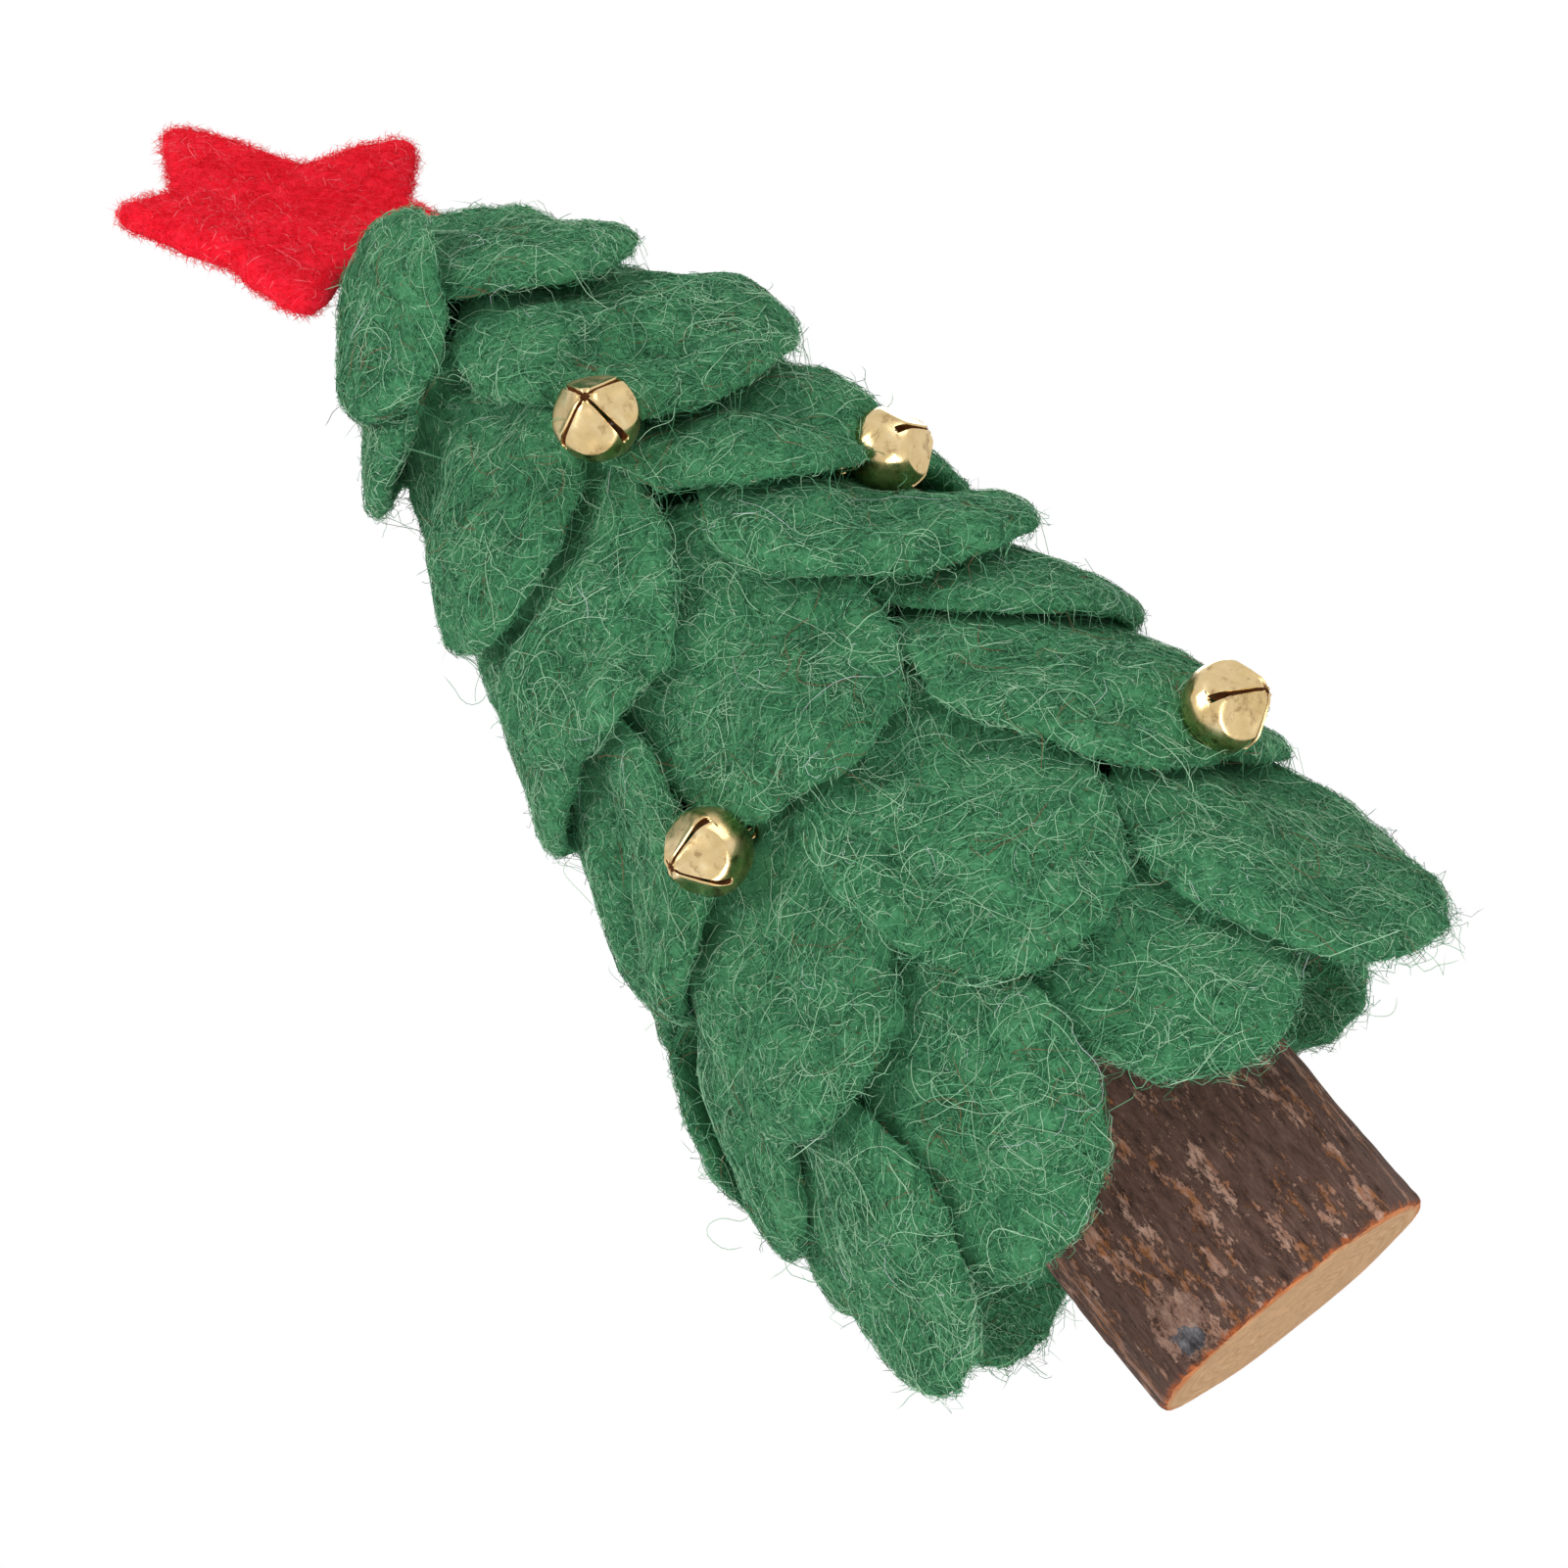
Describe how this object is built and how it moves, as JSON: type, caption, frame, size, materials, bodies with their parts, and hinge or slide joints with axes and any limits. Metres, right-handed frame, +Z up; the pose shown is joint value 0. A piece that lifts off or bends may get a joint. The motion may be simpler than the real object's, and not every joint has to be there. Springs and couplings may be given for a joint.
{
  "type": "felt christmas tree",
  "caption": "Small standing christmas tree: a cone shingled with round felt petals and set with jingle bells, a felt star on its tip and a log trunk as its foot.",
  "frame": {"origin": "centre of the trunk's flat foot, on the surface that the tree stands on", "axes": "+Z up along the trunk, -Y towards the face that the picture shows, +X to its right"},
  "size_m": [0.0853, 0.0855, 0.2082],
  "materials": {
    "petal": "fuzzy green wool felt",
    "star": "fuzzy red wool felt",
    "cone": "dark green craft foam",
    "trunk": "branch with its bark on, sawn pale end",
    "bell": "polished brass plate",
    "pellet": "plain steel"
  },
  "bodies": {
    "tree": {"log_trunk": "trunk", "foam_cone": "cone", "hem_petal_1": "petal", "hem_petal_2": "petal", "hem_petal_3": "petal", "hem_petal_4": "petal", "hem_petal_5": "petal", "hem_petal_6": "petal", "hem_petal_7": "petal", "hem_petal_8": "petal", "hem_petal_9": "petal", "low_petal_1": "petal", "low_petal_2": "petal", "low_petal_3": "petal", "low_petal_4": "petal", "low_petal_5": "petal", "low_petal_6": "petal", "low_petal_7": "petal", "low_petal_8": "petal", "low_petal_9": "petal", "middle_petal_1": "petal", "middle_petal_2": "petal", "middle_petal_3": "petal", "middle_petal_4": "petal", "middle_petal_5": "petal", "middle_petal_6": "petal", "middle_petal_7": "petal", "middle_petal_8": "petal", "upper_petal_1": "petal", "upper_petal_2": "petal", "upper_petal_3": "petal", "upper_petal_4": "petal", "upper_petal_5": "petal", "upper_petal_6": "petal", "upper_petal_7": "petal", "high_petal_1": "petal", "high_petal_2": "petal", "high_petal_3": "petal", "high_petal_4": "petal", "high_petal_5": "petal", "top_petal_1": "petal", "top_petal_2": "petal", "top_petal_3": "petal", "top_petal_4": "petal", "top_petal_5": "petal", "star": "star", "bell_shell_1": "bell", "bell_shell_2": "bell", "bell_shell_3": "bell", "bell_shell_4": "bell", "bell_shell_5": "bell", "bell_shell_6": "bell", "bell_shell_7": "bell"},
    "pellet_1": {"bell_pellet_1": "pellet"},
    "pellet_2": {"bell_pellet_2": "pellet"},
    "pellet_3": {"bell_pellet_3": "pellet"},
    "pellet_4": {"bell_pellet_4": "pellet"},
    "pellet_5": {"bell_pellet_5": "pellet"},
    "pellet_6": {"bell_pellet_6": "pellet"},
    "pellet_7": {"bell_pellet_7": "pellet"}
  },
  "joints": [
    {"name": "pellet_1_rattle", "type": "slide", "parent": "tree", "child": "pellet_1", "axis": [0, 0, 1], "range_m": [0, 0.0051]},
    {"name": "pellet_2_rattle", "type": "slide", "parent": "tree", "child": "pellet_2", "axis": [0, 0, 1], "range_m": [0, 0.0051]},
    {"name": "pellet_3_rattle", "type": "slide", "parent": "tree", "child": "pellet_3", "axis": [0, 0, 1], "range_m": [0, 0.0051]},
    {"name": "pellet_4_rattle", "type": "slide", "parent": "tree", "child": "pellet_4", "axis": [0, 0, 1], "range_m": [0, 0.0051]},
    {"name": "pellet_5_rattle", "type": "slide", "parent": "tree", "child": "pellet_5", "axis": [0, 0, 1], "range_m": [0, 0.0051]},
    {"name": "pellet_6_rattle", "type": "slide", "parent": "tree", "child": "pellet_6", "axis": [0, 0, 1], "range_m": [0, 0.0051]},
    {"name": "pellet_7_rattle", "type": "slide", "parent": "tree", "child": "pellet_7", "axis": [0, 0, 1], "range_m": [0, 0.0051]}
  ]
}
